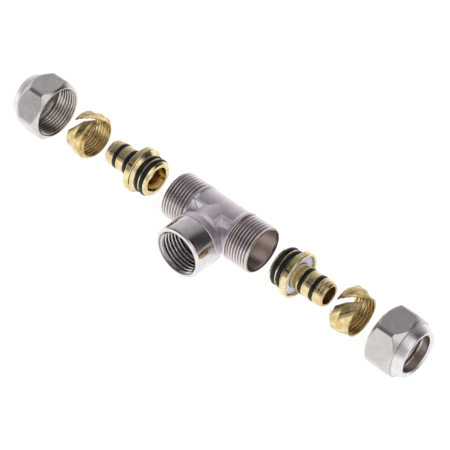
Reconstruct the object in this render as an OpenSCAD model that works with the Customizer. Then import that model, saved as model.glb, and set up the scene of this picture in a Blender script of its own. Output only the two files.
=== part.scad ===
// Compression tee for 16 mm multilayer pipe, laid out as it comes apart.
// The origin is the centre of the threaded branch mouth. The branch opens
// toward -Y, the run of the tee lies along X and +Z is up. Each side of the
// run carries an insert with its O-rings, an insulating washer, a split
// compression ring and a union nut, all on the axis of the run.

/* [Run thread] */
// Outside diameter of the male thread at each end of the run
run_thread_d = 22; // [21.6:0.1:22.2]
// Distance from one thread crest to the next
run_pitch = 1.5; // [1.5:0.25:2]
// Number of thread crests at each end
run_turns = 7; // [5:1:7]

/* [Tee body] */
// Length of the run, end to end
run_length = 48; // [48:0.5:54]
// Distance from the run axis to the branch mouth
branch_reach = 26.4; // [26:0.2:30]
// Outside diameter of the machined branch
branch_d = 24; // [23.6:0.1:25]
// Diameter of the forged neck between the collars
neck_d = 21; // [20.6:0.1:21.4]
// Bore that takes the insert and its large O-rings
socket_d = 17.8; // [17.7:0.05:17.9]
// Depth of that bore
socket_depth = 9.6; // [9:0.1:10.4]
// Water passage through the middle of the tee
waterway_d = 13; // [10:0.5:14]

/* [Branch thread] */
// Minor diameter of the female G 1/2 thread
branch_minor_d = 18.63; // [18.6:0.01:18.7]
// Major diameter of the female G 1/2 thread
branch_major_d = 20.6; // [20.2:0.1:21]
// Distance from one branch thread crest to the next
branch_pitch = 1.814; // [1.8:0.001:1.83]
// Number of thread crests in the branch
branch_turns = 6; // [4:1:6]

/* [Insert] */
// Length of the insert
insert_length = 26; // [25.6:0.1:27]
// Diameter of the lands beside the large O-rings
land_d = 16.6; // [16.4:0.1:17]
// Diameter of the collar that stops against the tee
collar_d = 21; // [20.6:0.1:21.2]
// Inside diameter of the cup that takes the split ring
cup_d = 18.8; // [18.6:0.1:19]
// Outside diameter of the barbed nipple
nipple_d = 11.8; // [11.6:0.1:11.9]
// Bore of the nipple
nipple_bore_d = 8.4; // [8:0.1:8.6]
// Wider bore at the end of the insert that faces the tee
insert_bore_d = 11.6; // [11:0.1:11.8]

/* [Seals] */
// Outside diameter of a large O-ring
large_oring_d = 17.7; // [17.5:0.05:17.7]
// Thickness of a large O-ring
large_oring_section = 2; // [1.8:0.05:2]
// Outside diameter of a small O-ring
small_oring_d = 12; // [11.9:0.05:12.1]
// Width of a small O-ring along the nipple
small_oring_width = 1.8; // [1.6:0.05:1.85]
// Thickness of the insulating washer
washer_thickness = 0.8; // [0.6:0.1:0.8]

/* [Split ring] */
// Length of the split ring
ring_length = 10; // [9.6:0.1:10.4]
// Largest diameter of the split ring
ring_d = 20.6; // [20:0.1:20.8]
// Diameter of the rim that meets the cone of the nut
ring_rim_d = 18; // [17.8:0.1:18.2]
// Diameter of the step that enters the cup of the insert
ring_step_d = 17.5; // [17.2:0.1:17.8]
// Bore that grips the pipe
ring_bore_d = 16.3; // [16.2:0.05:16.5]
// Width of the slanted slit
slit_width = 3.2; // [2:0.1:4]
// Angle between the slit and the axis of the ring
slit_slant = 46; // [30:1:55]

/* [Nut] */
// Hexagon size across the flats
across_flats = 26; // [26:0.5:28]
// Length of the nut
nut_length = 17.4; // [17.2:0.1:18]
// Length of the cone at the pipe end
nose_length = 4.3; // [4.2:0.1:4.8]
// Diameter of the nose at the pipe end
nose_d = 21.1; // [20.6:0.1:21.6]
// Hole that the pipe goes through
pipe_hole_d = 17.2; // [17:0.1:17.4]

/* [Exploded layout] */
// Gap between the left insert and the tee
left_insert_gap = 12; // [8:0.5:20]
// Gap between the right insert and the tee
right_insert_gap = 10; // [8:0.5:20]
// Distance from the left insert's end face to the left split ring
left_ring_offset = 35.5; // [30:0.1:44]
// Distance from the right insert's end face to the right split ring
right_ring_offset = 33; // [30:0.1:44]
// Distance from the left split ring to the mouth of the left nut
left_nut_offset = 24.4; // [12:0.1:30]
// Distance from the right split ring to the mouth of the right nut
right_nut_offset = 21.4; // [12:0.1:30]
// Turn of the left ring's slit from the top, toward the front
left_slit_turn = 6; // [-90:1:90]
// Turn of the right ring's slit from the top, toward the front
right_slit_turn = 16; // [-90:1:90]
// Turn of the left nut's flats, toward the front
left_nut_turn = 0; // [-30:0.5:30]
// Turn of the right nut's flats, toward the front
right_nut_turn = 5.5; // [-30:0.5:30]

/* [Hidden] */
$fn = 96;
// How far a cutting shape reaches past the face it opens
over = 1;
// Width of the small edge breaks on turned parts, and of the finer ones
edge = 0.3;
fine_edge = 0.2;
// Where one thread ridge leaves its root, reaches its crest, leaves the crest
// and is back at the root, as parts of the pitch
ridge_steps = [0.02, 0.4, 0.6, 0.98];
run_half = run_length / 2;
run_crest_r = run_thread_d / 2 - 0.1;
run_thread_depth = 0.92;
run_root_r = run_crest_r - run_thread_depth;
// The collar falls away to the thread root over this length
run_out = 0.8;
run_end_chamfer = 0.7;
// What is left of the last ridge on the end face
ridge_rest = 0.1;
// Cone at each end of the run that the insert's shoulder settles in
mouth_cone_length = 1.2;
mouth_cone_r = socket_d / 2 + 1.1;
run_thread_start = run_half - run_end_chamfer - run_turns * run_pitch;
socket_floor = run_half - socket_depth;
// Forged centre: half width at mid height, and where its flanks meet the neck
flank_r = 9;
flank_top = 5;
flank_height = 9.8;
// Where the round bar ends, inside the flat lands beside the neck's round top
flank_cut = 4.3;
collar_face = 11;
// The collars' hidden back faces, inside the neck
collar_root = 6;
collar_root_r = 8.6;
run_flare_r = flank_r - 0.2;
branch_flare_r = flank_r - 0.1;
run_collar_r = 11.1;
branch_collar_r = branch_d / 2 + 0.15;
branch_collar_start = 12.4;
branch_collar_end = 15.8;
branch_chamfer = 0.5;
// Step from the forged collar down to the machined cylinder
branch_step = 0.15;
branch_mouth_r = branch_minor_d / 2 + 0.9;
branch_lead_in = 0.9;
branch_thread_depth = branch_turns * branch_pitch + branch_lead_in;
branch_relief = 1.2;
// Insert stations, measured from its end face toward the pipe
groove_w = 2.2;
groove_1 = 1.1;
groove_2 = 3.9;
large_groove_r = large_oring_d / 2 - large_oring_section - 0.03;
shoulder = 7.6;
collar_end = 10.6;
cup_floor = 8.4;
land_chamfer_r = 0.8;
land_chamfer = 0.9;
// Height and length of the cone in front of the collar
shoulder_cone = 1.2;
// How far before the cup floor the narrow bore starts to widen
bore_widening = 0.4;
small_groove_w = 2;
small_groove_1 = 13.4;
small_groove_2 = 19.4;
small_oring_section = 1.15;
small_groove_r = small_oring_d / 2 - small_oring_section - 0.02;
barb_depth = 0.25;
// Stations of the barbs: before a small groove, then behind it
barb_rise = 1.1;
barb_top = 0.9;
first_barb_back = 0.7;
second_barb_back = 0.9;
last_barb_top = 2.3;
barb_drop = 0.1;
last_barb_drop = 0.2;
tip_length = 0.6;
tip_depth = 0.7;
tip_bore_chamfer = 0.25;
washer_clearance = 0.05;
washer_hole_clearance = 0.1;
washer_rim_clearance = 0.2;
ring_step_length = 1.5;
ring_cylinder_end = 5;
ring_groove_count = 6;
ring_groove_pitch = 1.5;
ring_groove_w = 0.75;
ring_groove_depth = 0.4;
ring_bore_chamfer = 0.25;
nut_crest_r = 11;
nut_root_r = 11.55;
nut_turns = 6;
nut_relief_rise = 0.1;
nut_mouth_r = 12;
nut_mouth_depth = 0.45;
nut_thread_start = 0.6;
// Width of the turned rim left around the mouth
nut_rim = 0.3;
nut_corner_r = 14.6;
// Lengths over which the corners are turned away at the two ends of the hexagon
nut_mouth_chamfer = 2.3;
nut_nose_chamfer = 3.4;
nut_cone_end = 16.2;
nut_hole_chamfer = 0.25;
nut_hole_flare = 0.5;
nut_cone_angle = 30;
nut_cone_r = 11.6;
nut_hex_end = nut_length - nose_length;
nose_base_r = 12.4;
// Narrow groove between the hexagon and the nose
nose_groove_w = 0.25;
nose_groove_depth = 0.3;
nose_end_rounding = 0.1;

// Turns a profile of [radius, station] points about +X, station along +X.
module turned(points) {
  rotate([0, 90, 0])
    rotate_extrude()
      polygon(points);
}

// A cylinder along +X from one station to another.
module bar(r, from, to) {
  translate([from, 0, 0])
    rotate([0, 90, 0])
      cylinder(r = r, h = to - from);
}

// Points up one side of a row of ridges, from the root to the crest and back.
function ridges(root, crest, start, pitch, count) = [
  for (i = [0:count - 1], k = [0:3])
    [k == 1 || k == 2 ? crest : root,
     start + pitch * (i + ridge_steps[k])]
];

// Moves a part onto the run axis, end face at the given distance from the
// centre of the tee. The left side is the right side turned half round.
module on_run(side, station) {
  translate([0, branch_reach, 0])
    rotate([0, 0, side > 0 ? 0 : 180])
      translate([station, 0, 0])
        children();
}

function insert_station(side) =
  run_half + (side > 0 ? right_insert_gap : left_insert_gap);
function ring_station(side) =
  insert_station(side) + (side > 0 ? right_ring_offset : left_ring_offset);
function nut_station(side) =
  ring_station(side) + (side > 0 ? right_nut_offset : left_nut_offset);

// ---- tee body ----

// Male thread, end chamfer and collar at one end of the run.
module run_end() {
  turned(concat(
    [[0, collar_root], [collar_root_r, run_flare_r], [run_collar_r, collar_face],
     [run_collar_r, run_thread_start - run_out], [run_root_r, run_thread_start]],
    ridges(run_root_r, run_crest_r, run_thread_start, run_pitch, run_turns),
    [[run_root_r + ridge_rest, run_half], [0, run_half]]
  ));
}

// One side of a neck's outline, from the bottom to the top: the flanks slope
// out to mid height between flat lands, as forged.
function flank_points(side) = [
  [side * flank_top, -flank_height], [side * flank_r, 0],
  [side * flank_top, flank_height]
];

// Round bar behind, sloping flank in front, from -length to length along X.
module neck(length) {
  intersection() {
    bar(neck_d / 2, -length, length);
    translate([-length, -flank_cut, -neck_d])
      cube([2 * length, neck_d + flank_cut, 2 * neck_d]);
  }
  translate([-length, 0, 0])
    rotate([90, 0, 90])
      linear_extrude(2 * length)
        polygon(concat([[0, -flank_height]], flank_points(-1), [[0, flank_height]]));
}

// Branch neck: both flanks slope in, so that each corner is a recess.
module branch_neck() {
  intersection() {
    rotate([0, 0, -90])
      bar(neck_d / 2, 0, collar_face);
    translate([-flank_cut, -collar_face, -neck_d])
      cube([2 * flank_cut, collar_face, 2 * neck_d]);
  }
  rotate([90, 0, 0])
    linear_extrude(collar_face)
      polygon(concat(flank_points(-1), [for (i = [2:-1:0]) flank_points(1)[i]]));
}

// Forged collar of the branch and the machined cylinder in front of it.
module branch_outside() {
  rotate([0, 0, -90])
    turned([
      [0, collar_root], [collar_root_r, branch_flare_r],
      [branch_collar_r, branch_collar_start], [branch_collar_r, branch_collar_end],
      [branch_d / 2, branch_collar_end + branch_step],
      [branch_d / 2, branch_reach - branch_chamfer],
      [branch_d / 2 - branch_chamfer, branch_reach], [0, branch_reach]
    ]);
}

// Female thread of the branch with its lead-in and the relief behind it.
module branch_cut() {
  floor_at = branch_reach - branch_thread_depth - branch_relief;
  rotate([0, 0, -90])
    turned(concat(
      [[0, 0], [waterway_d / 2, 0], [waterway_d / 2, floor_at],
       [branch_major_d / 2, floor_at],
       [branch_major_d / 2, floor_at + branch_relief]],
      [for (i = [0:branch_turns - 1], k = [0:i < branch_turns - 1 ? 3 : 1])
        [k == 1 || k == 2 ? branch_minor_d / 2 : branch_major_d / 2,
         floor_at + branch_relief + branch_pitch * (i + ridge_steps[k])]],
      [[branch_minor_d / 2, branch_reach - branch_lead_in],
       [branch_mouth_r, branch_reach], [branch_mouth_r, branch_reach + over],
       [0, branch_reach + over]]
    ));
}

// Socket and conical mouth at one end of the run.
module socket_cut() {
  turned([
    [0, 0], [waterway_d / 2, 0], [waterway_d / 2, socket_floor],
    [socket_d / 2, socket_floor],
    [socket_d / 2, run_half - mouth_cone_length],
    [mouth_cone_r, run_half], [mouth_cone_r, run_half + over], [0, run_half + over]
  ]);
}

module tee_body() {
  color([0.74, 0.71, 0.72])
    translate([0, branch_reach, 0])
      difference() {
        union() {
          neck(collar_face);
          branch_neck();
          branch_outside();
          run_end();
          rotate([0, 0, 180]) run_end();
        }
        socket_cut();
        rotate([0, 0, 180]) socket_cut();
        branch_cut();
      }
}

// ---- insert and seals ----

module insert(side) {
  land_r = land_d / 2;
  nip_r = nipple_d / 2;
  low_r = nip_r - barb_depth;
  behind_1 = small_groove_1 + small_groove_w;
  behind_2 = small_groove_2 + small_groove_w;
  color([0.83, 0.71, 0.42])
    on_run(side, insert_station(side))
      turned([
        [insert_bore_d / 2 + edge, 0], [land_r - land_chamfer_r, 0], [land_r, land_chamfer],
        [land_r, groove_1], [large_groove_r, groove_1],
        [large_groove_r, groove_1 + groove_w], [land_r, groove_1 + groove_w],
        [land_r, groove_2], [large_groove_r, groove_2],
        [large_groove_r, groove_2 + groove_w], [land_r, groove_2 + groove_w],
        [land_r, shoulder - shoulder_cone], [land_r + shoulder_cone, shoulder],
        [collar_d / 2 - edge, shoulder], [collar_d / 2, shoulder + edge],
        [collar_d / 2, collar_end - edge], [collar_d / 2 - edge, collar_end],
        [cup_d / 2 + fine_edge, collar_end], [cup_d / 2, collar_end - fine_edge],
        [cup_d / 2, cup_floor], [low_r, cup_floor],
        [low_r, small_groove_1 - barb_rise], [nip_r, small_groove_1 - barb_top],
        [nip_r, small_groove_1], [small_groove_r, small_groove_1],
        [small_groove_r, behind_1], [nip_r, behind_1],
        [nip_r, behind_1 + first_barb_back],
        [low_r, behind_1 + first_barb_back + barb_drop],
        [nip_r, small_groove_2 - barb_top], [nip_r, small_groove_2],
        [small_groove_r, small_groove_2], [small_groove_r, behind_2],
        [nip_r, behind_2], [nip_r, behind_2 + second_barb_back],
        [low_r, behind_2 + second_barb_back + barb_drop],
        [nip_r, behind_2 + last_barb_top],
        [low_r, behind_2 + last_barb_top + last_barb_drop],
        [low_r - fine_edge, insert_length - tip_length], [low_r - tip_depth, insert_length],
        [nipple_bore_d / 2 + tip_bore_chamfer, insert_length],
        [nipple_bore_d / 2, insert_length - edge],
        [nipple_bore_d / 2, cup_floor - bore_widening],
        [insert_bore_d / 2, groove_2 + groove_w],
        [insert_bore_d / 2, edge]
      ]);
}

module outer_oring(side, groove_at) {
  color([0.08, 0.08, 0.1])
    on_run(side, insert_station(side) + groove_at + groove_w / 2)
      rotate([0, 90, 0])
        rotate_extrude()
          translate([(large_oring_d - large_oring_section) / 2, 0])
            circle(d = large_oring_section);
}

// The small O-rings are squeezed wide in their grooves: a stadium section.
module nipple_oring(side, groove_at) {
  half_flat = (small_oring_width - small_oring_section) / 2;
  color([0.08, 0.08, 0.1])
    on_run(side, insert_station(side) + groove_at + small_groove_w / 2)
      rotate([0, 90, 0])
        rotate_extrude()
          translate([(small_oring_d - small_oring_section) / 2, 0]) {
            square([small_oring_section, 2 * half_flat], center = true);
            translate([0, half_flat]) circle(d = small_oring_section);
            translate([0, -half_flat]) circle(d = small_oring_section);
          }
}

module insulating_washer(side) {
  hole_r = nipple_d / 2 + washer_hole_clearance;
  rim_r = cup_d / 2 - washer_rim_clearance;
  near = cup_floor + washer_clearance;
  far = near + washer_thickness;
  color([0.9, 0.91, 0.94])
    on_run(side, insert_station(side))
      turned([[hole_r, near], [rim_r, near], [rim_r, far], [hole_r, far]]);
}

// ---- split ring ----

// Bore of the ring with its gripping grooves.
module ring_cut() {
  bore_r = ring_bore_d / 2;
  first = (ring_length - ring_groove_pitch * (ring_groove_count - 1)) / 2;
  turned(concat(
    [[0, -over], [bore_r + ring_bore_chamfer, -over], [bore_r + ring_bore_chamfer, 0],
     [bore_r, edge]],
    [for (i = [0:ring_groove_count - 1], k = [0:2])
      [bore_r + [0, ring_groove_depth, 0][k],
       first + ring_groove_pitch * i + ring_groove_w * (k - 1) / 2]],
    [[bore_r, ring_length - fine_edge], [bore_r + fine_edge, ring_length],
     [bore_r + fine_edge, ring_length + over], [0, ring_length + over]]
  ));
}

module split_ring(side) {
  turn = side > 0 ? right_slit_turn : -left_slit_turn;
  color([0.80, 0.67, 0.38])
    on_run(side, ring_station(side))
      difference() {
        turned([
          [0, 0], [ring_step_d / 2 - fine_edge, 0], [ring_step_d / 2, fine_edge],
          [ring_step_d / 2, ring_step_length],
          [ring_d / 2 - edge, ring_step_length],
          [ring_d / 2, ring_step_length + edge],
          [ring_d / 2, ring_cylinder_end],
          [ring_rim_d / 2, ring_length], [0, ring_length]
        ]);
        ring_cut();
        rotate([turn, 0, 0])
          translate([ring_length / 2, 0, 0])
            rotate([0, 0, slit_slant])
              translate([-ring_d, -slit_width / 2, 0])
                cube([2 * ring_d, slit_width, ring_d]);
      }
}

// ---- nut ----

// Outline of the nut turned from round bar: corners, chamfers and nose.
module nut_envelope() {
  groove_end = nut_hex_end + nose_groove_w;
  groove_r = nose_base_r - nose_groove_depth;
  turned([
    [0, 0], [nut_mouth_r + nut_rim, 0], [nut_corner_r, nut_mouth_chamfer],
    [nut_corner_r, nut_hex_end - nut_nose_chamfer], [nose_base_r + nut_rim, nut_hex_end],
    [groove_r, nut_hex_end], [groove_r, groove_end], [nose_base_r, groove_end],
    [nose_d / 2 + fine_edge, nut_length - edge],
    [nose_d / 2 - nose_end_rounding, nut_length], [0, nut_length]
  ]);
}

// Inside of the nut: thread, relief, cone for the ring and pipe hole.
module nut_cut() {
  hole_r = pipe_hole_d / 2;
  cone_from = nut_cone_end - (nut_cone_r - hole_r) / tan(nut_cone_angle);
  relief_from = nut_thread_start + run_pitch * nut_turns + nut_relief_rise;
  turned(concat(
    [[0, -over], [nut_mouth_r, -over], [nut_mouth_r, 0], [nut_root_r, nut_mouth_depth]],
    ridges(nut_root_r, nut_crest_r, nut_thread_start, run_pitch, nut_turns),
    [[nut_cone_r, relief_from], [nut_cone_r, cone_from],
     [hole_r, nut_cone_end], [hole_r, nut_length - nut_hole_chamfer],
     [hole_r + nut_hole_flare, nut_length], [hole_r + nut_hole_flare, nut_length + over],
     [0, nut_length + over]]
  ));
}

module nut(side) {
  turn = side > 0 ? right_nut_turn : -left_nut_turn;
  color([0.70, 0.67, 0.66])
    on_run(side, nut_station(side))
      difference() {
        intersection() {
          nut_envelope();
          rotate([turn, 0, 0])
            rotate([0, 90, 0])
              rotate([0, 0, 30])
                cylinder(r = across_flats / 2 / cos(30), h = nut_length, $fn = 6);
        }
        nut_cut();
      }
}

tee_body();
insert(-1);  // left_insert
outer_oring(-1, groove_1);  // left_outer_oring_1
outer_oring(-1, groove_2);  // left_outer_oring_2
nipple_oring(-1, small_groove_1);  // left_nipple_oring_1
nipple_oring(-1, small_groove_2);  // left_nipple_oring_2
insulating_washer(-1);  // left_insulating_washer
split_ring(-1);  // left_split_ring
nut(-1);  // left_nut
insert(1);  // right_insert
outer_oring(1, groove_1);  // right_outer_oring_1
outer_oring(1, groove_2);  // right_outer_oring_2
nipple_oring(1, small_groove_1);  // right_nipple_oring_1
nipple_oring(1, small_groove_2);  // right_nipple_oring_2
insulating_washer(1);  // right_insulating_washer
split_ring(1);  // right_split_ring
nut(1);  // right_nut
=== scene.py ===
"""Looks for the compression tee.

Studio, camera, procedural metals and rubber, and the finely shaped visible pieces."""

import math

import bmesh
import bpy
import numpy as np
from mathutils import Matrix, Vector


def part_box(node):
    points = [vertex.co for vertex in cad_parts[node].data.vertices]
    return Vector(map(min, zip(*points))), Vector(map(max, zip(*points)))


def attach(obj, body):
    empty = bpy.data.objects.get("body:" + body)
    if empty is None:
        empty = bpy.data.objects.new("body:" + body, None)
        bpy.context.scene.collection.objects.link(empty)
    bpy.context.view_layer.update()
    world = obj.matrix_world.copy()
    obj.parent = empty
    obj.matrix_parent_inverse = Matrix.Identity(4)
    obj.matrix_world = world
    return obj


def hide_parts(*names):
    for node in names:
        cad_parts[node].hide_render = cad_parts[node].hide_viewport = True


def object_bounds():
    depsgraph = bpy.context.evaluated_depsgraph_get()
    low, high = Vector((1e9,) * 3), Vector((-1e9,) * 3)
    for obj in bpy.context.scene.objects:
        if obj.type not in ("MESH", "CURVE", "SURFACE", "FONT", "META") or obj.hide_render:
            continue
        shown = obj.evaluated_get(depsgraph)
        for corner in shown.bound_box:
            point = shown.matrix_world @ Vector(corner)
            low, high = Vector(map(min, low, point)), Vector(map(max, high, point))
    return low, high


# Sizes are in millimetres unless a name or comment says otherwise; the frame is in metres.
MM = 0.001
SIDES = {"left": -1, "right": 1}
# The run axis, in metres.
RUN_Y = 0.0264
# Degrees by which each ring's slit and each nut's hexagon are turned about the run.
SLIT_TURN = {"left": -6.0, "right": 16.0}
NUT_TURN = {"left": 0.0, "right": -5.5}

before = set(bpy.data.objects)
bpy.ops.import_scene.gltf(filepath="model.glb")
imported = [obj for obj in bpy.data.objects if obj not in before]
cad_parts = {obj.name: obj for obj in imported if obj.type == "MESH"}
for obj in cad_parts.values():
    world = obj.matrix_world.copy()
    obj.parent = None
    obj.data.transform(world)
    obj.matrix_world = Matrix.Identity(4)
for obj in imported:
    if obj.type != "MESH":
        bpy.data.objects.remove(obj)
cad_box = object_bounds()


# ---- node helpers ----


class Tree:
    """A short way to write a node tree: each method adds a node and returns its main output."""

    def __init__(self, tree):
        self.tree = tree
        self.nodes = tree.nodes
        self.links = tree.links

    def add(self, kind, **settings):
        node = self.nodes.new(kind)
        for name, value in settings.items():
            setattr(node, name, value)
        return node

    def feed(self, socket, value):
        if isinstance(value, bpy.types.NodeSocket):
            self.links.new(value, socket)
        elif value is not None:
            socket.default_value = value

    def math(self, operation, a, b=None, c=None):
        node = self.add("ShaderNodeMath", operation=operation)
        for socket, value in zip(node.inputs, (a, b, c)):
            self.feed(socket, value)
        return node.outputs[0]

    def length(self, a, b):
        squares = self.math("ADD", self.math("MULTIPLY", a, a), self.math("MULTIPLY", b, b))
        return self.math("SQRT", squares)

    def noise(self, vector, scale, detail=3.0, roughness=0.5):
        node = self.add("ShaderNodeTexNoise")
        self.feed(node.inputs["Vector"], vector)
        self.feed(node.inputs["Scale"], scale)
        self.feed(node.inputs["Detail"], detail)
        self.feed(node.inputs["Roughness"], roughness)
        return node.outputs["Fac"]

    def stripes(self, along, scale, detail=2.0):
        node = self.add("ShaderNodeTexNoise", noise_dimensions="1D")
        self.feed(node.inputs["W"], along)
        self.feed(node.inputs["Scale"], scale)
        self.feed(node.inputs["Detail"], detail)
        return node.outputs["Fac"]

    def ramp(self, factor, stops):
        node = self.add("ShaderNodeValToRGB")
        elements = node.color_ramp.elements
        while len(elements) < len(stops):
            elements.new(0.5)
        for element, (position, colour) in zip(elements, stops):
            element.position = position
            if isinstance(colour, (int, float)):
                colour = (colour, colour, colour)
            element.color = (*colour, 1.0)
        self.feed(node.inputs["Fac"], factor)
        return node.outputs["Color"]

    def span(self, value, from_low, from_high, to_low, to_high):
        node = self.add("ShaderNodeMapRange", clamp=True)
        for index, item in enumerate((value, from_low, from_high, to_low, to_high)):
            self.feed(node.inputs[index], item)
        return node.outputs[0]

    def mix(self, factor, a, b, blend="MIX"):
        node = self.add("ShaderNodeMix", data_type="RGBA", blend_type=blend)
        self.feed(node.inputs[0], factor)
        for socket, value in ((node.inputs[6], a), (node.inputs[7], b)):
            if isinstance(value, tuple):
                value = (*value, 1.0)
            self.feed(socket, value)
        return node.outputs[2]

    def bump(self, height, distance, strength=1.0):
        node = self.add("ShaderNodeBump")
        self.feed(node.inputs["Strength"], strength)
        self.feed(node.inputs["Distance"], distance)
        self.feed(node.inputs["Height"], height)
        return node.outputs["Normal"]

    def place(self):
        return self.add("ShaderNodeTexCoord").outputs["Object"]

    def split(self, vector):
        node = self.add("ShaderNodeSeparateXYZ")
        self.feed(node.inputs[0], vector)
        return node.outputs

    def join(self, x, y, z):
        node = self.add("ShaderNodeCombineXYZ")
        for socket, value in zip(node.inputs, (x, y, z)):
            self.feed(socket, value)
        return node.outputs[0]


def new_material(name):
    material = bpy.data.materials.new(name)
    material.use_nodes = True
    tree = Tree(material.node_tree)
    shader = tree.nodes["Principled BSDF"]
    return material, tree, shader


def around_run(tree):
    """Station along the run and distance from its axis."""
    x, y, z = tree.split(tree.place())[:3]
    y = tree.math("SUBTRACT", y, RUN_Y)
    r = tree.length(y, z)
    return x, r


def around_branch(tree):
    """Station along the branch and distance from its axis."""
    x, y, z = tree.split(tree.place())[:3]
    r = tree.length(x, z)
    return y, r


# ---- materials ----

# Radius in millimetres at the end of the ramp that paints shade into the hollows; every turned surface lies
# inside it.
WIDEST = 16.0
# How much of a line's slant the lathe marks take from the radius, so that they show on end faces too.
CUT_SLANT = 0.63
# Extra roughness where the painted shade in a hollow is full.
HOLLOW_ROUGHNESS = 0.22


def turned_metal(name, around, light, dark, rough, line_depth, hollow=None):
    """Lathe-turned metal: fine circular lines, faint wider bands, stains and a drift in gloss.

    rough is the least and greatest roughness of the lines, line_depth their height in metres.
    hollow is a colour of painted shade and a list of (radius in millimetres, 0 for that colour to 1 for
    unshaded metal)."""
    material, tree, shader = new_material(name)
    place = tree.place()
    along, radius = around(tree)
    cut = tree.math("ADD", along, tree.math("MULTIPLY", radius, CUT_SLANT))
    lines = tree.stripes(cut, 5200.0, 2.0)
    wide = tree.stripes(cut, 1100.0, 1.0)
    cloud = tree.noise(place, 330.0, 3.0, 0.6)
    stain = tree.noise(place, 120.0, 2.0, 0.5)
    tint = tree.mix(tree.span(cloud, 0.36, 0.66, 0.0, 1.0), dark, light)
    tint = tree.mix(tree.span(stain, 0.55, 0.75, 0.0, 0.35), tint, dark)
    gloss = tree.span(lines, 0.25, 0.75, rough[0], rough[1])
    gloss = tree.math("ADD", gloss, tree.span(cloud, 0.3, 0.7, -0.03, 0.04))
    # Painted shade: by radius, the tint is darkened towards the hollow colour in thread roots, grooves,
    # sockets and bores.
    if hollow is not None:
        colour, stops = hollow
        reach = tree.math("DIVIDE", radius, WIDEST * MM)
        unshaded_share = tree.ramp(reach, [(r / WIDEST, value) for r, value in stops])
        tint = tree.mix(unshaded_share, colour, tint)
        gloss = tree.math("ADD", gloss, tree.span(unshaded_share, 0.0, 1.0, HOLLOW_ROUGHNESS, 0.0))
    shader.inputs["Metallic"].default_value = 1.0
    tree.feed(shader.inputs["Base Color"], tint)
    tree.feed(shader.inputs["Roughness"], gloss)
    height = tree.math("ADD", tree.math("MULTIPLY", lines, 0.6), wide)
    tree.feed(shader.inputs["Normal"], tree.bump(height, line_depth, 1.0))
    return material


def forged_metal(name, light, dark, rough, grain_depth):
    """Nickel over a blasted forging: fine grain, soft waviness, clouds and darker specks in the plate."""
    material, tree, shader = new_material(name)
    place = tree.place()
    cloud = tree.noise(place, 260.0, 4.0, 0.6)
    grain = tree.noise(place, 4200.0, 2.0, 0.65)
    wave = tree.noise(place, 700.0, 2.0, 0.5)
    shader.inputs["Metallic"].default_value = 1.0
    tint = tree.mix(tree.span(cloud, 0.35, 0.68, 0.0, 1.0), dark, light)
    speck = tree.noise(place, 1900.0, 2.0, 0.6)
    tint = tree.mix(tree.span(speck, 0.55, 0.72, 0.0, 0.55), tint, tuple(0.6 * c for c in dark))
    tree.feed(shader.inputs["Base Color"], tint)
    tree.feed(shader.inputs["Roughness"], tree.span(cloud, 0.3, 0.7, rough[0], rough[1]))
    height = tree.math("ADD", tree.math("MULTIPLY", grain, 0.5), wave)
    tree.feed(shader.inputs["Normal"], tree.bump(height, grain_depth, 1.0))
    return material


def rubber(name):
    """Black rubber with a fine speck in its colour and gloss."""
    material, tree, shader = new_material(name)
    place = tree.place()
    speck = tree.noise(place, 3000.0, 2.0)
    tree.feed(shader.inputs["Base Color"], tree.mix(speck, (0.002, 0.004, 0.007), (0.006, 0.009, 0.014)))
    tree.feed(shader.inputs["Roughness"], tree.span(speck, 0.3, 0.7, 0.22, 0.36))
    shader.inputs["Specular IOR Level"].default_value = 0.32
    tree.feed(shader.inputs["Normal"], tree.bump(speck, 0.00001, 0.5))
    return material


def ptfe(name):
    """White, slightly cloudy plastic."""
    material, tree, shader = new_material(name)
    place = tree.place()
    cloud = tree.noise(place, 700.0, 3.0)
    tree.feed(shader.inputs["Base Color"], tree.mix(cloud, (0.66, 0.70, 0.80), (0.76, 0.79, 0.87)))
    shader.inputs["Roughness"].default_value = 0.45
    tree.feed(shader.inputs["Normal"], tree.bump(cloud, 0.00002, 0.4))
    return material


# ---- mesh helpers; every size in millimetres ----


def rounded(loop, radius, steps=3, least=12.0):
    """Eases each corner of a closed loop of (station, radius) points that bends by least degrees or more."""
    out = []
    count = len(loop)
    for i, point in enumerate(loop):
        here = Vector(point)
        before = Vector(loop[i - 1]) - here
        after = Vector(loop[(i + 1) % count]) - here
        if before.length < 1e-9 or after.length < 1e-9:
            continue
        bend = math.pi - before.angle(after)
        if math.degrees(bend) < least:
            out.append(tuple(here))
            continue
        reach = radius * math.tan(bend / 2)
        reach = min(reach, 0.45 * before.length, 0.45 * after.length)
        start = here + reach * before.normalized()
        end = here + reach * after.normalized()
        for k in range(steps + 1):
            t = k / steps
            out.append(tuple((1 - t) ** 2 * start + 2 * t * (1 - t) * here + t * t * end))
    return out


def line(start, end, step):
    """Evenly spaced points from start to end, the end point left out."""
    count = max(1, round((Vector(end) - Vector(start)).length / step))
    return [tuple(Vector(start).lerp(Vector(end), k / count)) for k in range(count)]


def make_object(name, points, faces, material, body):
    """A smooth-shaded object from points in millimetres in the row frame."""
    mesh = bpy.data.meshes.new(name)
    mesh.from_pydata((points * MM).tolist(), [], faces)
    mesh.update()
    work = bmesh.new()
    work.from_mesh(mesh)
    bmesh.ops.recalc_face_normals(work, faces=work.faces)
    work.to_mesh(mesh)
    work.free()
    mesh.polygons.foreach_set("use_smooth", [True] * len(mesh.polygons))
    thing = bpy.data.objects.new(name, mesh)
    bpy.context.scene.collection.objects.link(thing)
    thing.data.materials.append(material)
    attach(thing, body)
    return thing


def weighted(thing):
    """Shades wide faces flat and lets the narrow edge arcs carry the bend."""
    modifier = thing.modifiers.new("weighted_normals", "WEIGHTED_NORMAL")
    modifier.weight = 60


def run_place(station, across, up, side):
    """Points from a part's own frame, station along the run, to the row frame."""
    return np.stack([side * station, RUN_Y / MM + side * across, up], axis=-1)


def branch_place(station, across, up):
    """The same for the branch, station from the run axis toward the mouth."""
    return np.stack([across, RUN_Y / MM - station, up], axis=-1)


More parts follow.
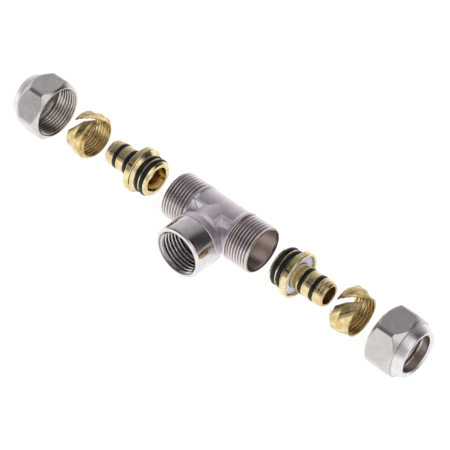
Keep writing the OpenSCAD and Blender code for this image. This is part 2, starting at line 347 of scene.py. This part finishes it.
def grid_faces(rows, columns):
    """Quads of a grid that closes on itself both ways."""
    return [
        (i * columns + j, i * columns + (j + 1) % columns,
         (i + 1) % rows * columns + (j + 1) % columns, (i + 1) % rows * columns + j)
        for i in range(rows)
        for j in range(columns)
    ]


def revolve(name, loop, angles, place, material, body, shape=None):
    """Sweeps a closed loop of (station, radius) about the axis.

    shape(stations, radii, angles) may vary the radius."""
    stations = np.array([p[0] for p in loop])[:, None] + 0.0 * angles[None, :]
    radii = np.array([p[1] for p in loop])[:, None] + 0.0 * angles[None, :]
    turn = angles[None, :] + 0.0 * stations
    if shape is not None:
        radii = shape(stations, radii, turn)
    points = place(stations, -radii * np.cos(turn), radii * np.sin(turn)).reshape(-1, 3)
    return make_object(name, points, grid_faces(len(loop), len(angles)), material, body)


def even(count):
    return np.arange(count) * (2 * math.pi / count)


# Shares of the pitch taken by half of the root's flat and by one flank; the rest is the crest.
ROOT_FLAT = 0.04
FLANK = 0.34


def thread_height(stations, turn, pitch):
    """0 in the root and 1 on the crest of a right-hand thread."""
    phase = (stations / pitch + turn / (2 * math.pi)) % 1.0
    return np.clip((np.minimum(phase, 1 - phase) - ROOT_FLAT) / FLANK, 0.0, 1.0)


# ---- tee ----

RUN_HALF = 24.0
RUN_PITCH = 1.5
RUN_CREST = 10.9
RUN_ROOT = 9.98
# Where the turned end begins, inside the forged collar, and where its thread fades in.
RUN_INNER_END = 11.4
THREAD_START = 12.8
SOCKET_FLOOR = 14.4
SOCKET_R = 8.9
SOCKET_CHAMFER = 1.2
WATERWAY_R = 6.5
BRANCH_PITCH = 1.814
BRANCH_MINOR = 9.315
BRANCH_MAJOR = 10.3
BRANCH_FLOOR = 13.416
BRANCH_REACH = 26.4
BRANCH_R = 12.0
# Where the turned branch begins, inside its forged collar, and the radius it has there.
BRANCH_INNER_END = 13.0
BRANCH_INNER_R = 11.4


def run_end(side_name, side):
    """Threaded end of the run with its socket."""
    relief = 12.05
    loop = [(RUN_INNER_END, WATERWAY_R), (RUN_INNER_END, 9.6), (relief - 0.05, 9.9)]
    loop += line((relief + 0.05, RUN_ROOT), (RUN_HALF - 0.05, RUN_ROOT), 0.075)
    loop += [(RUN_HALF, RUN_ROOT + 0.02), (RUN_HALF, RUN_ROOT)]
    loop += [(RUN_HALF - SOCKET_CHAMFER, SOCKET_R), (SOCKET_FLOOR, SOCKET_R), (SOCKET_FLOOR, WATERWAY_R)]

    def shape(stations, radii, turn):
        outer = (radii > RUN_ROOT - 0.001) & (radii < RUN_ROOT + 0.001) & (stations > relief)
        tall = (RUN_CREST - RUN_ROOT) * thread_height(stations, turn, RUN_PITCH)
        run_out = np.clip((stations - THREAD_START + 0.7) / 0.9, 0.0, 1.0)
        end = RUN_HALF - stations + 0.12
        return np.where(outer, radii + np.clip(np.minimum(tall * run_out, end), 0.0, 1.0), radii)

    place = lambda s, a, u: run_place(s, a, u, side)
    name = f"tee_{side_name}_thread"
    revolve(name, loop, even(200), place, TURNED_NICKEL, "tee", shape)


def branch_end():
    """Machined branch with its female pipe thread."""
    top = BRANCH_REACH
    thread_top = top - 1.0
    thread_end = BRANCH_FLOOR + 1.0
    outside = [
        (BRANCH_INNER_END, WATERWAY_R + 0.1), (BRANCH_INNER_END, BRANCH_INNER_R),
        (15.6, BRANCH_INNER_R), (15.9, BRANCH_R),
        (top - 0.8, BRANCH_R), (top - 0.2, BRANCH_R - 0.4), (top, BRANCH_R - 0.8),
        (top, 10.2), (top - 0.9, BRANCH_MINOR), (thread_top, BRANCH_MINOR),
    ]
    bottom = [(thread_end, BRANCH_MAJOR), (BRANCH_FLOOR, BRANCH_MAJOR), (BRANCH_FLOOR, WATERWAY_R)]
    eased = rounded(outside + bottom, 0.12)
    # The eased outline is kept as far as the thread, which has its own close rows.
    lip = [i for i, p in enumerate(eased) if abs(p[0] - thread_top) < 0.35 and p[1] < BRANCH_MINOR + 0.05]
    loop = eased[:lip[-1] + 1]
    loop += line((thread_top - 0.05, BRANCH_MINOR), (thread_end + 0.1, BRANCH_MINOR), 0.09)
    loop += bottom

    def shape(stations, radii, turn):
        along = (stations > thread_end + 0.05) & (stations < thread_top)
        inner = (np.abs(radii - BRANCH_MINOR) < 0.001) & along
        deep = (BRANCH_MAJOR - BRANCH_MINOR) * (1.0 - thread_height(stations, turn, BRANCH_PITCH))
        return np.where(inner, radii + deep, radii)

    name = "tee_branch_thread"
    revolve(name, loop, even(220), branch_place, TURNED_BRANCH, "tee", shape)


def prism(work, outline, place):
    """Adds a closed prism to work: outline is (station from, station to, ring of (across, up))."""
    start, end, ring = outline
    lower = [work.verts.new(place(start, a, u)) for a, u in ring]
    upper = [work.verts.new(place(end, a, u)) for a, u in ring]
    work.faces.new(lower[::-1])
    work.faces.new(upper)
    for i in range(len(ring)):
        j = (i + 1) % len(ring)
        work.faces.new((lower[i], lower[j], upper[j], upper[i]))


def cone(work, start, end, low_r, high_r, place, count=64):
    """Adds a closed cone frustum to work."""
    ring = [(math.cos(a), math.sin(a)) for a in even(count)]
    lower = [work.verts.new(place(start, low_r * a, low_r * u)) for a, u in ring]
    upper = [work.verts.new(place(end, high_r * a, high_r * u)) for a, u in ring]
    work.faces.new(lower[::-1])
    work.faces.new(upper)
    for i in range(count):
        j = (i + 1) % count
        work.faces.new((lower[i], lower[j], upper[j], upper[i]))


def loose_mesh(name, fill):
    """An object whose mesh is whatever fill adds to an empty one."""
    work = bmesh.new()
    fill(work)
    bmesh.ops.recalc_face_normals(work, faces=work.faces)
    mesh = bpy.data.meshes.new(name)
    work.to_mesh(mesh)
    work.free()
    thing = bpy.data.objects.new(name, mesh)
    bpy.context.scene.collection.objects.link(thing)
    return thing


def apply(thing, kind, **settings):
    """Adds a modifier to thing and applies it."""
    modifier = thing.modifiers.new(kind.lower(), kind)
    for key, value in settings.items():
        setattr(modifier, key, value)
    bpy.context.view_layer.objects.active = thing
    for other in bpy.context.selected_objects:
        other.select_set(False)
    thing.select_set(True)
    bpy.ops.object.modifier_apply(modifier=modifier.name)


# The neck's flanks: how far they stand out at mid height and at the top, and the height of their top edge.
FLANK_R = 9.0
FLANK_TOP = 5.0
FLANK_HEIGHT = 9.8
NECK_R = 10.5
# Stations where the necks, cones and collars of the run and the branch end.
RUN_NECK_END = 11.6
BRANCH_NECK_END = 12.6
NECK_CONE_START = 6.0
NECK_CONE_R = 8.6
COLLAR_START = 11.0
COLLAR_END = 12.1
COLLAR_R = 11.1
BRANCH_COLLAR_START = 12.4
BRANCH_COLLAR_END = 15.85
BRANCH_COLLAR_R = 12.15
# How far a collar reaches into its cone, so that the two join.
LAP = 0.02


def neck_ring(both):
    """Outline of the forged neck across its axis: front flank at negative across, round behind."""
    land = math.sqrt(NECK_R ** 2 - FLANK_HEIGHT ** 2)
    front = [(-land, -FLANK_HEIGHT), (-FLANK_TOP, -FLANK_HEIGHT), (-FLANK_R, 0.0),
             (-FLANK_TOP, FLANK_HEIGHT), (-land, FLANK_HEIGHT)]
    if both:
        crown = [(NECK_R * math.sin(a), NECK_R * math.cos(a)) for a in np.radians(np.linspace(-15, 15, 7))]
        back = [(-a, u) for a, u in front[::-1]]
        keel = [(a, -u) for a, u in crown[::-1]]
        return front + crown + back + keel
    arc = np.radians(np.linspace(106, -106, 48))
    return front + [(NECK_R * math.cos(a), NECK_R * math.sin(a)) for a in arc]


def forged_centre():
    """The forged middle of the tee: necks, collars and hollow corners run together with soft fillets."""
    run = lambda s, a, u: (s * MM, RUN_Y + a * MM, u * MM)
    branch = lambda s, a, u: (a * MM, RUN_Y - s * MM, u * MM)

    def one(fill):
        return loose_mesh("forging_part", fill)

    parts = [
        one(lambda w: prism(w, (-RUN_NECK_END, RUN_NECK_END, neck_ring(False)), run)),
        one(lambda w: prism(w, (0.0, BRANCH_NECK_END, neck_ring(True)), branch)),
        one(lambda w: cone(w, NECK_CONE_START, COLLAR_START, NECK_CONE_R, COLLAR_R, run)),
        one(lambda w: cone(w, COLLAR_START - LAP, COLLAR_END, COLLAR_R, COLLAR_R, run)),
        one(lambda w: cone(w, -COLLAR_START, -NECK_CONE_START, COLLAR_R, NECK_CONE_R, run)),
        one(lambda w: cone(w, -COLLAR_END, LAP - COLLAR_START, COLLAR_R, COLLAR_R, run)),
        one(lambda w: cone(w, NECK_CONE_START, BRANCH_COLLAR_START, NECK_CONE_R, BRANCH_COLLAR_R, branch)),
        one(lambda w: cone(w, BRANCH_COLLAR_START - LAP, BRANCH_COLLAR_END,
                           BRANCH_COLLAR_R, BRANCH_COLLAR_R, branch)),
    ]
    centre = parts[0]
    for other in parts[1:]:
        apply(centre, "BOOLEAN", operation="UNION", object=other, solver="EXACT")
        bpy.data.objects.remove(other)
    hollow = [
        one(lambda w: cone(w, -13.0, 13.0, WATERWAY_R, WATERWAY_R, run)),
        one(lambda w: cone(w, 0.0, 14.0, WATERWAY_R, WATERWAY_R, branch)),
        one(lambda w: cone(w, 13.2, 17.0, 11.1, 11.1, branch)),
    ]
    for other in hollow:
        apply(centre, "BOOLEAN", operation="DIFFERENCE", object=other, solver="EXACT")
        bpy.data.objects.remove(other)
    apply(centre, "REMESH", mode="VOXEL", voxel_size=0.20 * MM)
    apply(centre, "SMOOTH", factor=0.5, iterations=4)
    centre.name = "tee_forged_centre"
    centre.data.materials.append(FORGED_NICKEL)
    centre.data.polygons.foreach_set("use_smooth", [True] * len(centre.data.polygons))
    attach(centre, "tee")
    return centre


# ---- nut ----

# Half of the width across flats, and the radius to which the corners are turned down.
HEX_R = 13.0
CORNER_R = 14.6
# Radii of the end face at the mouth and of the hexagon's far end, and the lengths chamfered down to them.
FACE_R = 12.3
SHOULDER_R = 12.7
FACE_CHAMFER = 2.3
SHOULDER_CHAMFER = 3.4
NUT_LENGTH = 17.4
HEX_END = 13.1
NOSE_R = 10.55
NUT_CREST = 11.0
NUT_ROOT = 11.55
NUT_THREAD_END = 10.6
# The bore's radius where the thread has run out and the cone for the split ring begins.
NUT_CONE_R = 11.6
HOLE_R = 8.6
NUT_CONE_END = 16.2


def soft_min(a, b, radius):
    """The smaller of two radii, with the edge between them eased."""
    h = np.clip(0.5 + 0.5 * (b - a) / radius, 0.0, 1.0)
    return b * (1 - h) + a * h - radius * h * (1 - h)


def hex_angles():
    """Angles about the nut, closer together at its corners."""
    near = np.concatenate([np.arange(-25.0, 25.1, 1.25), np.arange(25.4, 30.0, 0.4)])
    sector = np.unique(np.concatenate([near, -near[near > 25.0], [30.0]]))
    sector = sector[sector > -29.99]
    return np.radians(np.concatenate([sector + 60 * k for k in range(6)]))


def nut(side_name, side, turn_degrees):
    """Union nut: turned bar hexagon with eased edges, brushed nose, thread, cone and pipe hole."""
    low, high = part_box(f"{side_name}_nut")
    mouth = low.x / MM if side > 0 else -high.x / MM
    twist = math.radians(turn_degrees)
    envelope = [(0.0, FACE_R), (FACE_CHAMFER, CORNER_R), (HEX_END - SHOULDER_CHAMFER, CORNER_R),
                (HEX_END, SHOULDER_R)]
    # Close rows along both chamfers and wide ones between; shape gives these rows their real radius.
    front = FACE_CHAMFER + 0.2
    back = HEX_END - SHOULDER_CHAMFER - 0.3
    outer = line((0.0, FACE_R), (front, FACE_R), 0.09)
    outer += line((front, FACE_R), (back, FACE_R), 0.5)
    outer += line((back, FACE_R), (HEX_END, FACE_R), 0.09)
    outer_count = len(outer)
    nose = rounded([
        (HEX_END - 0.1, 12.5), (HEX_END - 0.1, 11.9), (HEX_END + 0.3, 11.9), (HEX_END + 0.3, 12.35),
        (NUT_LENGTH - 0.3, NOSE_R + 0.1), (NUT_LENGTH, NOSE_R - 0.2), (NUT_LENGTH, HOLE_R + 1.0),
        (NUT_LENGTH - 0.8, HOLE_R), (NUT_CONE_END, HOLE_R),
        (NUT_CONE_END - 5.2, NUT_CONE_R), (NUT_THREAD_END + 0.2, NUT_CONE_R),
    ], 0.10)
    bore = line((NUT_THREAD_END, NUT_ROOT), (0.62, NUT_ROOT), 0.075)
    bore += [(0.45, NUT_ROOT), (0.05, 11.95), (0.0, 12.05)]
    loop = outer + nose + bore
    rows = np.arange(len(loop))[:, None]

    def shape(stations, radii, turn):
        bound = np.interp(stations, [p[0] for p in envelope], [p[1] for p in envelope])
        sector = (turn - twist - math.pi / 6) % (math.pi / 3)
        flat = HEX_R / np.cos(np.minimum(sector, math.pi / 3 - sector))
        result = np.where(rows < outer_count, soft_min(bound, flat, 0.10), radii)
        bore_rows = (rows >= outer_count + len(nose)) & (stations > 0.5)
        ridge = (NUT_ROOT - NUT_CREST) * thread_height(stations, turn, RUN_PITCH)
        fade_in = np.clip((stations - 0.5) / 0.4, 0.0, 1.0)
        fade_out = np.clip((NUT_THREAD_END - stations) / 0.6, 0.0, 1.0)
        return np.where(bore_rows, radii - ridge * fade_in * fade_out, result)

    place = lambda s, a, u: run_place(mouth + s, a, u, side)
    angles = hex_angles() + math.pi / 2 + twist
    thing = revolve(f"{side_name}_nut_visual", loop, angles, place, NUT_NICKEL,
                    f"{side_name}_nut", shape)
    thing.data.materials.append(NOSE_NICKEL)
    thing.data.materials.append(NUT_INSIDE)
    inside = next(i for i, p in enumerate(loop) if i > outer_count and p[1] < HOLE_R + 0.6)
    for face in thing.data.polygons:
        row = face.index // len(angles)
        if row >= inside:
            face.material_index = 2
        elif row >= outer_count:
            face.material_index = 1
    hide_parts(f"{side_name}_nut")


# ---- insert ----


def insert_loop():
    """The turned profile of the insert, station from its end face.

    In order: the plug and its two seal grooves, the collar and its cup, the nipple with its barbs and
    two smaller grooves, the tip, and back through the bore."""
    land = 8.3
    groove = 6.82
    low = 5.65
    nip = 5.9
    small = 4.83
    return [
        (0.0, 6.1), (0.0, 7.5), (0.9, land),
        (1.1, land), (1.1, groove), (3.3, groove), (3.3, land),
        (3.9, land), (3.9, groove), (6.1, groove), (6.1, land),
        (6.4, land), (7.6, 9.5), (7.6, 10.2), (7.9, 10.5), (10.3, 10.5), (10.6, 10.2),
        (10.6, 9.6), (10.4, 9.4), (8.4, 9.4), (8.4, low),
        (12.3, low), (12.5, nip),
        (13.4, nip), (13.4, small), (15.4, small), (15.4, nip),
        (16.1, nip), (16.2, low), (18.5, nip),
        (19.4, nip), (19.4, small), (21.4, small), (21.4, nip),
        (22.3, nip), (22.4, low), (23.7, nip), (23.9, low),
        (25.4, low - 0.2), (26.0, low - 0.7), (26.0, 4.45),
        (25.7, 4.2), (8.0, 4.2), (6.1, 5.8), (0.3, 5.8),
    ]


def insert(side_name, side):
    """Barbed insert with eased edges."""
    low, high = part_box(f"{side_name}_insert")
    end = low.x / MM if side > 0 else -high.x / MM
    place = lambda s, a, u: run_place(end + s, a, u, side)
    loop = rounded(insert_loop(), 0.10)
    thing = revolve(f"{side_name}_insert_visual", loop, even(160), place, INSERT_BRASS,
                    f"{side_name}_insert")
    weighted(thing)
    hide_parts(f"{side_name}_insert")


# ---- split ring ----

RING_LENGTH = 10.0
# Width of the slit across its own line, and the angle of that line to the run.
SLIT = 3.2
SLANT = math.radians(46)
RING_BORE = 8.15
TOOTH_PITCH = 1.5
TOOTH_DEPTH = 0.4


def split_ring(side_name, side, turn_degrees):
    """Slit compression ring: its turned section swept from one cut face of the slit round to the other."""
    low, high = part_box(f"{side_name}_split_ring")
    start = low.x / MM if side > 0 else -high.x / MM
    outside = [
        (0.0, 8.4), (0.0, 8.55), (0.2, 8.75), (1.5, 8.75),
        (1.5, 10.0), (1.8, 10.3), (5.0, 10.3), (RING_LENGTH, 9.0),
    ]
    teeth = [(RING_LENGTH, 8.35), (RING_LENGTH - 0.2, RING_BORE)]
    for i in range(5, -1, -1):
        at = 1.25 + TOOTH_PITCH * i
        root = (at, RING_BORE + TOOTH_DEPTH)
        teeth += [(at + TOOTH_PITCH / 4, RING_BORE), root, (at - TOOTH_PITCH / 4, RING_BORE)]
    loop = np.array(rounded(outside + teeth + [(0.3, RING_BORE)], 0.07, 2))
    steps = np.linspace(0.0, 1.0, 200)[None, :]
    middle = (loop[:, 0] - RING_LENGTH / 2) * math.sin(SLANT)
    first = np.arccos((middle - SLIT / 2) / math.cos(SLANT) / loop[:, 1])[:, None]
    last = 2 * math.pi + np.arccos((middle + SLIT / 2) / math.cos(SLANT) / loop[:, 1])[:, None]
    angle = first + (last - first) * steps + math.radians(turn_degrees)
    stations = loop[:, 0][:, None] + 0.0 * angle
    radii = loop[:, 1][:, None]
    points = run_place(start + stations, radii * np.cos(angle), radii * np.sin(angle), side).reshape(-1, 3)
    rows, columns = angle.shape
    faces = [
        (i * columns + j, i * columns + j + 1,
         (i + 1) % rows * columns + j + 1, (i + 1) % rows * columns + j)
        for i in range(rows)
        for j in range(columns - 1)
    ]
    faces.append([i * columns for i in range(rows)])
    faces.append([i * columns + columns - 1 for i in range(rows - 1, -1, -1)])
    thing = make_object(f"{side_name}_ring_visual", points, faces, RING_BRASS,
                        f"{side_name}_ring")
    thing.data.polygons[-1].use_smooth = False
    thing.data.polygons[-2].use_smooth = False
    weighted(thing)
    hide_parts(f"{side_name}_split_ring")


# ---- studio ----


def studio_world():
    """White up to just above the horizon, then grey surroundings whose tone changes each way round.

    A bright panel stands high on the right and a dark strip at mid height in front, for the metals."""
    world = bpy.data.worlds.new("studio")
    world.use_nodes = True
    bpy.context.scene.world = world
    tree = Tree(world.node_tree)
    x, y, z = tree.split(tree.add("ShaderNodeTexCoord").outputs["Generated"])[:3]
    angle = tree.math("ARCTAN2", x, tree.math("MULTIPLY", y, -1.0))
    turn = tree.math("MULTIPLY_ADD", angle, 0.5 / math.pi, 0.5)
    around = tree.ramp(turn, [(0.5 + degrees / 360.0, tone) for degrees, tone in (
        (-180, 0.60), (-145, 0.72), (-115, 0.62), (-85, 0.38), (-50, 0.28), (-15, 0.40), (15, 0.50),
        (50, 0.70), (80, 0.78), (105, 0.40), (128, 0.05), (150, 0.09), (168, 0.40), (180, 0.60),
    )])
    rise = tree.ramp(z, [
        (0.0, 1.0), (0.25, 1.0), (0.45, 0.90), (0.60, 0.82), (0.72, 0.66), (0.84, 0.50), (1.0, 0.50),
    ])
    wall = tree.mix(1.0, around, rise, "MULTIPLY")
    wall = tree.mix(tree.span(z, 0.82, 0.97, 0.0, 1.0), wall, (0.30, 0.30, 0.30))
    wall = tree.mix(1.0, wall, (1.03, 0.98, 1.02), "MULTIPLY")
    lamp = tree.add("ShaderNodeVectorMath", operation="DOT_PRODUCT")
    tree.feed(lamp.inputs[0], tree.join(x, y, z))
    lamp.inputs[1].default_value = (0.646, -0.173, 0.743)
    wall = tree.mix(tree.span(lamp.outputs["Value"], 0.87, 0.95, 0.0, 1.0), wall, (1.15, 1.15, 1.17))
    strip = tree.ramp(z, [(0.47, 0.0), (0.52, 1.0), (0.59, 1.0), (0.64, 0.0)])
    front = tree.ramp(turn, [(0.30, 0.0), (0.34, 1.0), (0.55, 1.0), (0.60, 0.0)])
    wall = tree.mix(tree.mix(1.0, strip, front, "MULTIPLY"), wall, (0.015, 0.015, 0.02))
    tone = tree.mix(tree.span(z, 0.02, 0.20, 0.0, 1.0), (1.0, 1.0, 1.0), wall)
    background = tree.nodes["Background"]
    tree.feed(background.inputs["Color"], tone)
    background.inputs["Strength"].default_value = 1.0


def softbox(name, azimuth, elevation, distance, size, power, mirrored):
    """An area light aimed at the middle of the fitting. Azimuth 0 stands in front, 90 on the right.

    Distance and size are in metres and power in watts; mirrored is whether the metals show it."""
    light = bpy.data.lights.new(name, "AREA")
    light.shape = "RECTANGLE"
    light.size, light.size_y = size
    light.energy = power
    holder = bpy.data.objects.new(name, light)
    bpy.context.scene.collection.objects.link(holder)
    a, e = math.radians(azimuth), math.radians(elevation)
    direction = Vector((math.cos(e) * math.sin(a), -math.cos(e) * math.cos(a), math.sin(e)))
    holder.location = Vector((0.0, RUN_Y, 0.0)) + distance * direction
    holder.rotation_euler = direction.to_track_quat("Z", "Y").to_euler()
    holder.visible_glossy = mirrored


def floor():
    """A white table top under the fitting."""
    low = cad_box[0][2]
    bpy.ops.mesh.primitive_plane_add(size=6.0, location=(0.0, RUN_Y, low))
    plane = bpy.context.object
    plane.name = "studio_floor"
    material, tree, shader = new_material("studio_floor")
    shader.inputs["Base Color"].default_value = (0.30, 0.30, 0.30, 1.0)
    shader.inputs["Roughness"].default_value = 0.9
    shader.inputs["Specular IOR Level"].default_value = 0.1
    shader.inputs["Emission Color"].default_value = (1.0, 1.0, 1.0, 1.0)
    shader.inputs["Emission Strength"].default_value = 0.88
    plane.data.materials.append(material)


# Distances in metres, lens in millimetres.
CAMERA_AZIMUTH = math.radians(38.54)
CAMERA_ELEVATION = math.radians(44.15)
CAMERA_ROLL = math.radians(4.93)
CAMERA_DISTANCE = 0.88288
CAMERA_AIM_RIGHT = 0.00214
CAMERA_AIM_UP = -0.00120
CAMERA_LENS = 168.9


def camera():
    """The camera, aimed near the middle of the tee and rolled a little."""
    az, el = CAMERA_AZIMUTH, CAMERA_ELEVATION
    back = Vector((math.cos(el) * math.sin(az), -math.cos(el) * math.cos(az), math.sin(el)))
    level = Vector((math.cos(az), math.sin(az), 0.0))
    upright = back.cross(level)
    right = math.cos(CAMERA_ROLL) * level + math.sin(CAMERA_ROLL) * upright
    up = math.cos(CAMERA_ROLL) * upright - math.sin(CAMERA_ROLL) * level
    aim = Vector((0.0, RUN_Y, 0.0)) + CAMERA_AIM_RIGHT * right + CAMERA_AIM_UP * up
    data = bpy.data.cameras.new("camera")
    data.sensor_width = 36.0
    data.lens = CAMERA_LENS
    data.clip_start = 0.01
    holder = bpy.data.objects.new("camera", data)
    bpy.context.scene.collection.objects.link(holder)
    turn = Matrix((right, up, back)).transposed().to_4x4()
    holder.matrix_world = Matrix.Translation(aim + CAMERA_DISTANCE * back) @ turn
    bpy.context.scene.camera = holder


def dress(node, material):
    """Gives a CAD piece that stays visible its material."""
    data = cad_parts[node].data
    data.materials.clear()
    data.materials.append(material)


camera()
floor()
studio_world()
softbox("key", -60.0, 55.0, 1.2, (0.9, 0.7), 5.0, False)
softbox("fill", 60.0, 40.0, 1.4, (0.6, 0.6), 2.5, False)
bpy.context.scene.view_settings.view_transform = "Standard"

NICKEL_LIGHT = (0.82, 0.79, 0.79)
NICKEL_DARK = (0.72, 0.68, 0.69)
# Painted shade: dark colours and radius ramps that darken thread roots, grooves, sockets and bores where
# shade falls; 0 is full shade, 1 is bare metal.
PAINTED_SHADE_DARK = (0.17, 0.13, 0.125)
PAINTED_SHADE_BROWN = (0.34, 0.27, 0.24)
RUN_PAINTED_SHADE = (PAINTED_SHADE_BROWN, [
    (8.95, 0.0), (9.15, 1.0), (9.85, 1.0), (9.97, 0.15), (10.3, 0.35), (10.75, 0.9), (10.9, 1.0),
])
BRANCH_PAINTED_SHADE = (PAINTED_SHADE_DARK, [(9.3, 1.0), (9.6, 0.75), (10.1, 0.1), (10.3, 0.1), (10.4, 1.0)])
NUT_PAINTED_SHADE = (PAINTED_SHADE_DARK, [
    (8.6, 0.25), (10.6, 0.25), (11.0, 1.0), (11.2, 0.8), (11.5, 0.05), (11.62, 0.05), (11.75, 1.0),
])
BORE_PAINTED_SHADE = ((0.66, 0.48, 0.25), [(3.0, 0.1), (5.0, 0.1), (5.6, 0.7), (5.9, 1.0)])
RING_PAINTED_SHADE = ((0.34, 0.19, 0.06), [(8.15, 1.0), (8.3, 0.5), (8.48, 0.0), (8.6, 0.0), (8.75, 1.0)])
TURNED_NICKEL = turned_metal(
    "turned_nickel_run", around_run, NICKEL_LIGHT, (0.74, 0.69, 0.68), (0.08, 0.16), 0.000010, RUN_PAINTED_SHADE)
TURNED_BRANCH = turned_metal(
    "turned_nickel_branch", around_branch, NICKEL_LIGHT, NICKEL_DARK, (0.06, 0.14), 0.000016, BRANCH_PAINTED_SHADE)
NUT_NICKEL = turned_metal(
    "nut_nickel", around_run, (0.68, 0.65, 0.63), (0.58, 0.56, 0.54), (0.18, 0.28), 0.000008)
NOSE_NICKEL = turned_metal(
    "nut_nose_nickel", around_run, (0.86, 0.83, 0.83), (0.72, 0.70, 0.70), (0.20, 0.32), 0.00003)
NUT_INSIDE = turned_metal(
    "nut_inside_nickel", around_run, (0.84, 0.81, 0.79), (0.66, 0.61, 0.58), (0.10, 0.20), 0.00001,
    NUT_PAINTED_SHADE)
FORGED_NICKEL = forged_metal("forged_nickel", (0.88, 0.84, 0.87), (0.72, 0.67, 0.71), (0.28, 0.40), 0.00009)
INSERT_BRASS = turned_metal(
    "insert_brass", around_run, (0.89, 0.80, 0.50), (0.72, 0.56, 0.27), (0.06, 0.14), 0.000014, BORE_PAINTED_SHADE)
RING_BRASS = turned_metal(
    "ring_brass", around_run, (0.87, 0.73, 0.40), (0.56, 0.39, 0.14), (0.10, 0.22), 0.000030, RING_PAINTED_SHADE)
RUBBER = rubber("rubber")
PTFE = ptfe("ptfe")

centre = forged_centre()
branch_end()
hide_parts("tee_body")
for name, side in SIDES.items():
    run_end(name, side)
    insert(name, side)
    split_ring(name, side, SLIT_TURN[name])
    nut(name, side, NUT_TURN[name])

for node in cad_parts:
    if "oring" in node:
        dress(node, RUBBER)
    elif "washer" in node:
        dress(node, PTFE)
